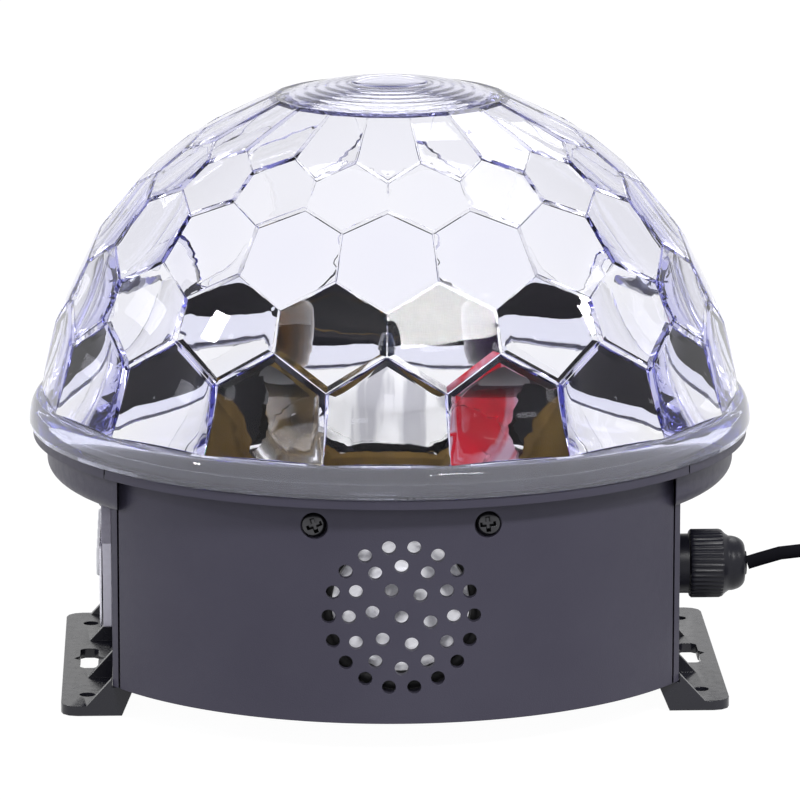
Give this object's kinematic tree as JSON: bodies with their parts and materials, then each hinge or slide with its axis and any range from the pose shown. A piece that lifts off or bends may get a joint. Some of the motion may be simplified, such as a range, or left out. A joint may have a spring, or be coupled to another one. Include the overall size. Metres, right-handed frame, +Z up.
{
  "type": "disco ball light",
  "caption": "Clear faceted dome light on a round dark case with speaker grilles, foot brackets, side controls and a mains lead",
  "frame": {"origin": "on the surface that the light stands on, under the dome's axis", "axes": "+Z up along the dome's axis, -Y out of the front grille, -X out of the control panel, +X out of the cable gland"},
  "size_m": [0.3111, 0.2, 0.1666],
  "materials": {
    "clear_plastic": "clear, smooth, faceted",
    "case_plastic": "satin moulded",
    "black_plastic": "glossy moulded",
    "bronze_plastic": "bronze tinted, smooth",
    "deck_plastic": "satin moulded",
    "silver_plastic": "silver painted",
    "button_plastic": "satin",
    "smoked_plastic": "dark red, smooth",
    "socket_plastic": "matte",
    "board_black": "black lacquered laminate",
    "board_green": "green laminate",
    "screw_steel": "darkened steel",
    "bright_steel": "bright plated steel",
    "speaker_black": "black stamped frame",
    "cone_silver": "silver coated paper",
    "transformer_yellow": "tape wrapped",
    "cord_black": "matte black jacket",
    "lamp_red": "clear epoxy lens",
    "lamp_green": "clear epoxy lens",
    "lamp_blue": "clear epoxy lens",
    "lamp_white": "clear epoxy lens",
    "lamp_amber": "clear epoxy lens",
    "lamp_violet": "clear epoxy lens"
  },
  "bodies": {
    "case": {"crystal_dome": "clear_plastic", "front_panel": "case_plastic", "rear_panel": "case_plastic", "left_side": "case_plastic", "right_side": "case_plastic", "base_tray": "case_plastic", "left_foot": "black_plastic", "right_foot": "black_plastic", "gland_body": "black_plastic", "gland_nut": "black_plastic", "gland_locknut": "black_plastic", "control_panel": "black_plastic", "deck": "deck_plastic", "control_plate": "silver_plastic", "infrared_window": "smoked_plastic", "card_socket": "socket_plastic", "light_board": "board_black", "main_board": "board_green", "power_board": "board_green", "front_panel_screw_left": "screw_steel", "front_panel_screw_right": "screw_steel", "rear_panel_screw_left": "screw_steel", "rear_panel_screw_right": "screw_steel", "dome_screw_left": "screw_steel", "dome_screw_right": "screw_steel", "left_foot_screw_front": "screw_steel", "left_foot_screw_rear": "screw_steel", "right_foot_screw_front": "screw_steel", "right_foot_screw_rear": "screw_steel", "usb_socket": "bright_steel", "drive_motor": "bright_steel", "plug_pin_left": "bright_steel", "plug_pin_right": "bright_steel", "front_speaker": "speaker_black", "rear_speaker": "speaker_black", "front_speaker_cone": "cone_silver", "rear_speaker_cone": "cone_silver", "transformer": "transformer_yellow", "gland_seal": "cord_black", "lead_inside": "cord_black", "cord_lead": "cord_black", "cord_coil": "cord_black", "cord_tail": "cord_black", "cord_tie": "cord_black", "plug": "cord_black", "lamp_red": "lamp_red", "lamp_green": "lamp_green", "lamp_blue": "lamp_blue", "lamp_white": "lamp_white", "lamp_amber": "lamp_amber", "lamp_violet": "lamp_violet"},
    "disc": {"pattern_disc": "bronze_plastic", "lens_plate": "clear_plastic", "disc_shaft": "bright_steel", "disc_screw": "screw_steel"},
    "button_1": {"button_1": "button_plastic"},
    "button_2": {"button_2": "button_plastic"},
    "button_3": {"button_3": "button_plastic"},
    "button_4": {"button_4": "button_plastic"},
    "button_5": {"button_5": "button_plastic"}
  },
  "joints": [
    {"name": "disc_spin", "type": "hinge", "parent": "case", "child": "disc", "pos_m": [0, 0, 0.0803], "axis": [0, 0, 1], "continuous": true},
    {"name": "button_1_press", "type": "slide", "parent": "case", "child": "button_1", "axis": [1, 0, 0], "range_m": [0, 0.0008], "stiffness_N_per_m": 600, "springref_m": -0.0008},
    {"name": "button_2_press", "type": "slide", "parent": "case", "child": "button_2", "axis": [1, 0, 0], "range_m": [0, 0.0008], "stiffness_N_per_m": 600, "springref_m": -0.0008},
    {"name": "button_3_press", "type": "slide", "parent": "case", "child": "button_3", "axis": [1, 0, 0], "range_m": [0, 0.0008], "stiffness_N_per_m": 600, "springref_m": -0.0008},
    {"name": "button_4_press", "type": "slide", "parent": "case", "child": "button_4", "axis": [1, 0, 0], "range_m": [0, 0.0008], "stiffness_N_per_m": 600, "springref_m": -0.0008},
    {"name": "button_5_press", "type": "slide", "parent": "case", "child": "button_5", "axis": [1, 0, 0], "range_m": [0, 0.0008], "stiffness_N_per_m": 600, "springref_m": -0.0008}
  ]
}
